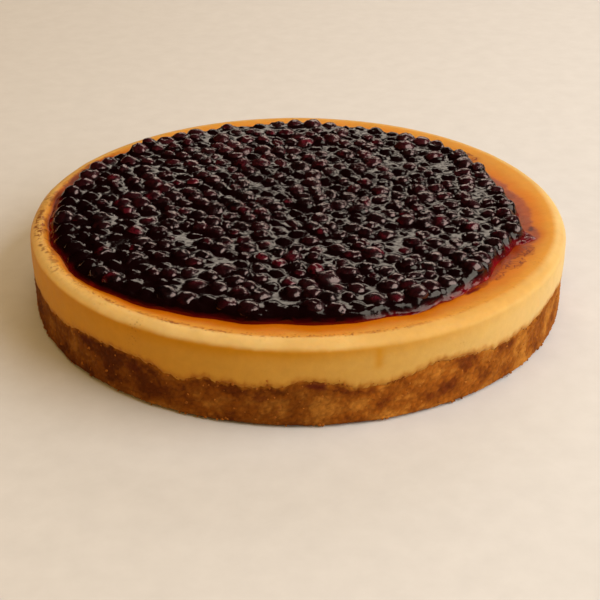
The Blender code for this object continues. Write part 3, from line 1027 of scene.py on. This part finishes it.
def tilt_of(name, draw):
    """A turn that leaves a crown within sight for the crowned kind, and any turn for the others."""
    if name != "berries_crowned":
        return random_turn(draw)
    toward = Matrix.Rotation(draw.uniform(0, math.tau), 3, "Z")
    lean = Matrix.Rotation(abs(draw.normal(0, 0.7)), 3, "X")
    return np.array(toward @ lean @ Matrix.Rotation(draw.uniform(0, math.tau), 3, "Z"))


def berry_shape(sphere, name, draw):
    """One berry of radius 1 with its crown on +Z, and its painted shade: darker in the hollow at the crown.
    """
    shift = draw.uniform(-50, 50, 3)
    polar = np.arccos(np.clip(sphere[:, 2], -1, 1))
    around = np.arctan2(sphere[:, 1], sphere[:, 0])
    bump = 0.17 * cloud(sphere + shift, 1.0, 3, 3, 0.6)
    crown = bell(polar - 0.36, 0.13) * (0.7 + 0.3 * np.cos(5 * around + shift[0]))
    cup = bell(polar, 0.26)
    bump += 0.07 * crown - 0.16 * cup
    if name == "berries_wrinkled":
        folds = cloud(sphere * (1, 1, 0.45) + shift, 0.42, 5, 2)
        bump += 0.18 * folds - 0.05
        dent = draw.normal(size=3)
        bump -= 0.22 * step(0.55, 1.0, sphere @ (dent / np.linalg.norm(dent)))
    return sphere * (1 + bump)[:, None], 1 - 0.5 * cup


def berry_colour(points, draw, painted_light_back):
    """Near black skin, brightened by the given painted light, with patches where the light comes through dark
    red.
    """
    pick = draw.random()
    base = (tone(16, 5, 6) * (1 - pick) + tone(34, 8, 14) * pick) * painted_light_back
    strength = max(0, draw.normal(0.05, 0.28))
    patch = step(0.1, 0.5, cloud(points + draw.uniform(-50, 50, 3), 0.9, 7, 2) + 0.05)
    return blend(base, tone(92, 12, 34), np.clip(strength * patch, 0, 0.5))


# Light, floor and camera

def make_stage():
    """A wide pale floor just under the cake, with painted light: it glows more the farther it is from the
    cake.
    """
    size, low = 9.0, -0.0003
    mesh = bpy.data.meshes.new("floor")
    corners = [(x * size, y * size, low) for x, y in ((-1, -1), (1, -1), (1, 1), (-1, 1))]
    mesh.from_pydata(corners, [], [(0, 1, 2, 3)])
    made, tree, shader = shader_of("floor")
    speck = ranged(tree, grain(tree, 90, 4), 0.3, 0.7, 0.97, 1.03)
    # Painted light: the floor's glow grows with the distance from the cake.
    away = added(tree, "ShaderNodeVectorMath", {0: place_of(tree)}, operation="LENGTH").outputs["Value"]
    set_inputs(tree, shader, {
        "Base Color": mixed(tree, "MULTIPLY", 1, (0.64, 0.69, 0.77, 1), speck), "Roughness": 0.7,
        "Emission Color": (0.74, 0.64, 0.52, 1), "Emission Strength": ranged(tree, away, 0.9, 2.6, 0, 0.6),
    })
    mesh.materials.append(made)
    floor = bpy.data.objects.new("floor", mesh)
    bpy.context.scene.collection.objects.link(floor)


LIGHTS = (
    # name, place, target, width and height in metres, watts, colour, seen in reflections
    ("key", (0.98, -0.3, 0.76), (0, 0, 0.02), (1.25, 1.0), 19.5, (1.0, 0.95, 0.87), True),
    ("window", (0.36, 1.3, 0.7), (0.2, 0, 0.03), (1.28, 0.46), 5.6, (1.0, 0.87, 0.74), True),
    ("fill", (-1.1, -0.55, 0.42), (0, 0, 0.02), (0.9, 0.7), 2.3, (1.0, 0.6, 0.14), False),
    ("overhead", (-0.1, -0.2, 1.5), (0, 0, 0), (0.9, 0.9), 2.5, (1.0, 0.8, 0.55), False),
)


def make_lights():
    world = bpy.data.worlds.new("studio")
    bpy.context.scene.world = world
    world.use_nodes = True
    backdrop = world.node_tree
    set_inputs(backdrop, backdrop.nodes["Background"], {"Color": (0.46, 0.26, 0.08, 1), "Strength": 1.0})
    world.cycles_visibility.glossy = False
    bpy.context.scene.view_settings.view_transform = "Standard"
    for name, place, target, size, power, colour, reflected in LIGHTS:
        lamp = bpy.data.lights.new(name, "AREA")
        lamp.shape = "RECTANGLE"
        lamp.size, lamp.size_y = size
        lamp.energy, lamp.color = power, colour
        made = bpy.data.objects.new(name, lamp)
        made.location = place
        made.rotation_euler = (Vector(target) - Vector(place)).to_track_quat("-Z", "Y").to_euler()
        made.visible_glossy = reflected
        bpy.context.scene.collection.objects.link(made)


def make_camera():
    lens = bpy.data.cameras.new("camera")
    lens.lens, lens.sensor_width = 78, 36
    camera = bpy.data.objects.new("camera", lens)
    camera.rotation_mode = "QUATERNION"
    camera.location = (0.0009, -0.5095, 0.2746)
    pitch = Matrix.Rotation(math.radians(60.84), 3, "X")
    roll = Matrix.Rotation(math.radians(0.22), 3, "Z")
    camera.rotation_quaternion = (pitch @ roll).to_quaternion()
    bpy.context.scene.collection.objects.link(camera)
    bpy.context.scene.camera = camera


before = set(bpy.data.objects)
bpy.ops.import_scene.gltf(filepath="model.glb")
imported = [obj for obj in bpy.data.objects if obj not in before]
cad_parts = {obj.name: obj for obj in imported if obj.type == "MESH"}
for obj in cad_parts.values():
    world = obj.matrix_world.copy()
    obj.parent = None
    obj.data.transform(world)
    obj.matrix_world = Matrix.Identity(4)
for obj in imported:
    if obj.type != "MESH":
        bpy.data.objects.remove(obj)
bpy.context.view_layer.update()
make_camera()
make_lights()
make_stage()
make_filling()
make_crust()
make_crumbs()
spots = berry_spots()
spots = [np.concatenate(pair) for pair in zip(spots, filler_spots(*spots[:2]))]
make_glaze(*spots)
make_berries(*spots)
